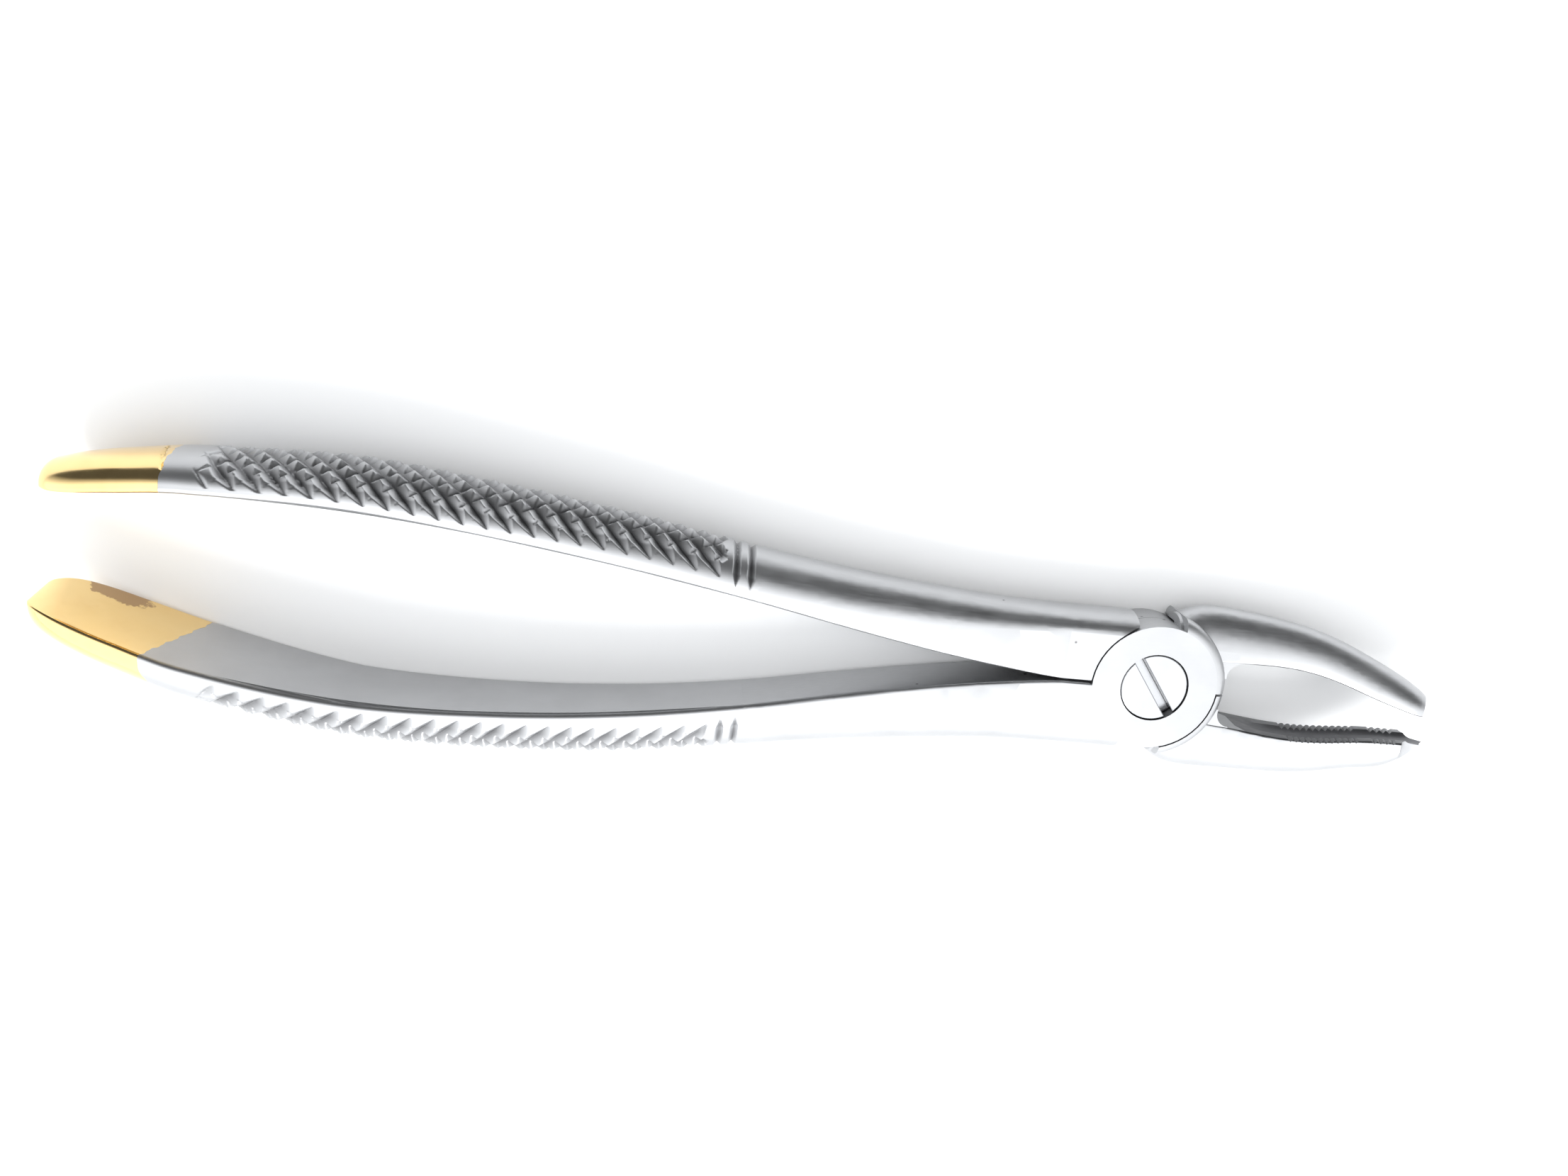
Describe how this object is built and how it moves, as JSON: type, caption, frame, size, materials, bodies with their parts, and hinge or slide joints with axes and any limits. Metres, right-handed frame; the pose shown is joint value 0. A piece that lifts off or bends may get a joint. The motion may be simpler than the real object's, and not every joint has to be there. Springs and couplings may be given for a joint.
{
  "type": "extraction forceps",
  "caption": "Dental extraction forceps: two forged arms crossing at a screwed lap joint, with toothed curved beaks and textured grips with plated ends.",
  "frame": {"origin": "on the joint's axis, in the flat rear face of the joint", "axes": "+X from the joint towards the beak tips, +Z from the rear face to the face with the screw head, +Y towards the rear arm's handle"},
  "size_m": [0.1727, 0.0353, 0.0157],
  "materials": {
    "satin_steel": "satin",
    "screw_steel": "satin",
    "gold_plating": "polished plating"
  },
  "bodies": {
    "rear_half": {"rear_arm": "satin_steel", "rear_handle_gold_end": "gold_plating", "joint_screw": "screw_steel"},
    "front_half": {"front_arm": "satin_steel", "front_handle_gold_end": "gold_plating"}
  },
  "joints": [
    {"name": "jaw_pivot", "type": "hinge", "parent": "rear_half", "child": "front_half", "pos_m": [0, 0, 0.004], "axis": [0, 0, 1], "range_deg": [-1, 28]}
  ]
}
